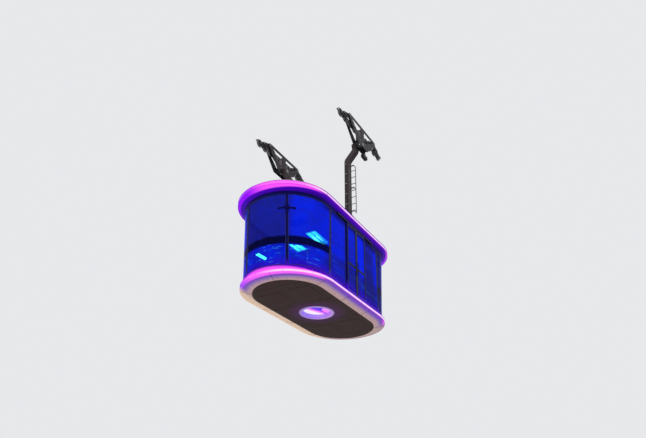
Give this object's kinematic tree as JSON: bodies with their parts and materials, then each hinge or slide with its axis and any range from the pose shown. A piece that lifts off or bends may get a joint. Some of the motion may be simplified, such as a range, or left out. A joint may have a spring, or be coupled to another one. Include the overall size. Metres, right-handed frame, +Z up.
{
  "type": "aerial tramway cabin with its hangers and twin roller carriages",
  "caption": "Glass-walled stadium-plan tramway cabin with lit bands, hung by cranked arms from two roller carriages.",
  "frame": {"origin": "midway between the two track ropes, at their centre height, above the middle of the cabin", "axes": "+X along the ropes and the cabin's length, +Y across to the left rope, +Z up"},
  "size_m": [6.9236, 3.666, 6.814],
  "materials": {
    "roller_steel": "dark grooved roller, worn bright in the groove",
    "bogie_paint": "dark grey paint on plate",
    "beam_paint": "dark grey paint on plate",
    "pin_steel": "turned steel",
    "brake_paint": "dark cast housing",
    "clamp_steel": "forged dark steel",
    "hanger_paint": "dark grey paint, satin",
    "roof_paint": "grey roof paint",
    "rim_paint": "dark indigo paint, satin",
    "wall_paint": "near-black navy paint",
    "light_strip": "pink light diffuser",
    "window_glass": "blue-lit tinted glass",
    "door_paint": "near-black navy paint",
    "ceiling_panel": "blue-lit ceiling panel",
    "lamp": "white lamp diffuser",
    "sill_paint": "dark indigo paint",
    "deck": "dark ribbed floor covering",
    "skirt_paint": "cream paint",
    "pan_paint": "dark brown-grey underbody coat",
    "porthole_paint": "pale lavender paint",
    "porthole_glass": "violet-lit glass",
    "rail_pad": "dark moulded leaning rail",
    "rail_steel": "brushed stainless tube",
    "header_metal": "dark anodised track",
    "hatch_metal": "plain aluminium",
    "walk_metal": "galvanised steel",
    "desk_paint": "dark desk paint"
  },
  "bodies": {
    "carriages": {"main_beams": "beam_paint", "bogie_beams": "bogie_paint", "rocker_beams": "bogie_paint", "main_pins": "pin_steel", "rope_brakes": "brake_paint", "haul_clamps": "clamp_steel"},
    "cabin": {"hangers": "hanger_paint", "roof_yoke": "hanger_paint", "roof_shell": "roof_paint", "roof_rim": "rim_paint", "roof_light_strip": "light_strip", "ceiling": "ceiling_panel", "ceiling_lamps": "lamp", "ladders": "walk_metal", "toe_boards": "walk_metal", "roof_cabinet": "hatch_metal", "control_desk": "desk_paint", "hatch_coaming": "hatch_metal", "wall_frieze": "wall_paint", "cabin_posts": "wall_paint", "end_windows_front": "window_glass", "end_windows_rear": "window_glass", "side_windows_left": "window_glass", "side_windows_right": "window_glass", "sill_ring": "sill_paint", "floor_light_strip": "light_strip", "floor_deck": "deck", "floor_window": "porthole_glass", "skirt": "skirt_paint", "underside_pan": "pan_paint", "porthole_ring": "porthole_paint", "porthole_glass": "porthole_glass", "end_rails": "rail_pad", "hand_rails": "rail_steel", "door_headers": "header_metal"},
    "hatch_lid": {"hatch_lid": "hatch_metal"},
    "roller_left_1": {"roller_left_1": "roller_steel"},
    "roller_left_2": {"roller_left_2": "roller_steel"},
    "roller_left_3": {"roller_left_3": "roller_steel"},
    "roller_left_4": {"roller_left_4": "roller_steel"},
    "roller_left_5": {"roller_left_5": "roller_steel"},
    "roller_left_6": {"roller_left_6": "roller_steel"},
    "roller_left_7": {"roller_left_7": "roller_steel"},
    "roller_left_8": {"roller_left_8": "roller_steel"},
    "roller_right_1": {"roller_right_1": "roller_steel"},
    "roller_right_2": {"roller_right_2": "roller_steel"},
    "roller_right_3": {"roller_right_3": "roller_steel"},
    "roller_right_4": {"roller_right_4": "roller_steel"},
    "roller_right_5": {"roller_right_5": "roller_steel"},
    "roller_right_6": {"roller_right_6": "roller_steel"},
    "roller_right_7": {"roller_right_7": "roller_steel"},
    "roller_right_8": {"roller_right_8": "roller_steel"},
    "door_left_front": {"door_leaf_left_front": "door_paint", "door_glass_left_front": "window_glass"},
    "door_left_rear": {"door_leaf_left_rear": "door_paint", "door_glass_left_rear": "window_glass"},
    "door_right_front": {"door_leaf_right_front": "door_paint", "door_glass_right_front": "window_glass"},
    "door_right_rear": {"door_leaf_right_rear": "door_paint", "door_glass_right_rear": "window_glass"}
  },
  "joints": [
    {"name": "cabin_swing", "type": "hinge", "parent": "carriages", "child": "cabin", "pos_m": [0, 0, -0.3], "axis": [0, 1, 0], "range_deg": [-25, 25]},
    {"name": "hatch_hinge", "type": "hinge", "parent": "cabin", "child": "hatch_lid", "pos_m": [0.75, 0, -3.215], "axis": [0, -1, 0], "range_deg": [0, 95]},
    {"name": "roller_left_1_spin", "type": "hinge", "parent": "carriages", "child": "roller_left_1", "pos_m": [-1.46, 1.715, 0.15], "axis": [0, 1, 0], "continuous": true},
    {"name": "roller_left_2_spin", "type": "hinge", "parent": "carriages", "child": "roller_left_2", "pos_m": [-1.12, 1.715, 0.15], "axis": [0, 1, 0], "continuous": true},
    {"name": "roller_left_3_spin", "type": "hinge", "parent": "carriages", "child": "roller_left_3", "pos_m": [-0.78, 1.715, 0.15], "axis": [0, 1, 0], "continuous": true},
    {"name": "roller_left_4_spin", "type": "hinge", "parent": "carriages", "child": "roller_left_4", "pos_m": [-0.44, 1.715, 0.15], "axis": [0, 1, 0], "continuous": true},
    {"name": "roller_left_5_spin", "type": "hinge", "parent": "carriages", "child": "roller_left_5", "pos_m": [0.44, 1.715, 0.15], "axis": [0, 1, 0], "continuous": true},
    {"name": "roller_left_6_spin", "type": "hinge", "parent": "carriages", "child": "roller_left_6", "pos_m": [0.78, 1.715, 0.15], "axis": [0, 1, 0], "continuous": true},
    {"name": "roller_left_7_spin", "type": "hinge", "parent": "carriages", "child": "roller_left_7", "pos_m": [1.12, 1.715, 0.15], "axis": [0, 1, 0], "continuous": true},
    {"name": "roller_left_8_spin", "type": "hinge", "parent": "carriages", "child": "roller_left_8", "pos_m": [1.46, 1.715, 0.15], "axis": [0, 1, 0], "continuous": true},
    {"name": "roller_right_1_spin", "type": "hinge", "parent": "carriages", "child": "roller_right_1", "pos_m": [-1.46, -1.715, 0.15], "axis": [0, 1, 0], "continuous": true},
    {"name": "roller_right_2_spin", "type": "hinge", "parent": "carriages", "child": "roller_right_2", "pos_m": [-1.12, -1.715, 0.15], "axis": [0, 1, 0], "continuous": true},
    {"name": "roller_right_3_spin", "type": "hinge", "parent": "carriages", "child": "roller_right_3", "pos_m": [-0.78, -1.715, 0.15], "axis": [0, 1, 0], "continuous": true},
    {"name": "roller_right_4_spin", "type": "hinge", "parent": "carriages", "child": "roller_right_4", "pos_m": [-0.44, -1.715, 0.15], "axis": [0, 1, 0], "continuous": true},
    {"name": "roller_right_5_spin", "type": "hinge", "parent": "carriages", "child": "roller_right_5", "pos_m": [0.44, -1.715, 0.15], "axis": [0, 1, 0], "continuous": true},
    {"name": "roller_right_6_spin", "type": "hinge", "parent": "carriages", "child": "roller_right_6", "pos_m": [0.78, -1.715, 0.15], "axis": [0, 1, 0], "continuous": true},
    {"name": "roller_right_7_spin", "type": "hinge", "parent": "carriages", "child": "roller_right_7", "pos_m": [1.12, -1.715, 0.15], "axis": [0, 1, 0], "continuous": true},
    {"name": "roller_right_8_spin", "type": "hinge", "parent": "carriages", "child": "roller_right_8", "pos_m": [1.46, -1.715, 0.15], "axis": [0, 1, 0], "continuous": true},
    {"name": "door_left_front_slide", "type": "slide", "parent": "cabin", "child": "door_left_front", "axis": [1, 0, 0], "range_m": [0, 0.59]},
    {"name": "door_left_rear_slide", "type": "slide", "parent": "cabin", "child": "door_left_rear", "axis": [-1, 0, 0], "range_m": [0, 0.59]},
    {"name": "door_right_front_slide", "type": "slide", "parent": "cabin", "child": "door_right_front", "axis": [1, 0, 0], "range_m": [0, 0.59]},
    {"name": "door_right_rear_slide", "type": "slide", "parent": "cabin", "child": "door_right_rear", "axis": [-1, 0, 0], "range_m": [0, 0.59]}
  ],
  "couplings": [
    {"joint": "door_left_rear_slide", "follows": "door_left_front_slide", "ratio": 1},
    {"joint": "door_right_rear_slide", "follows": "door_right_front_slide", "ratio": 1}
  ]
}
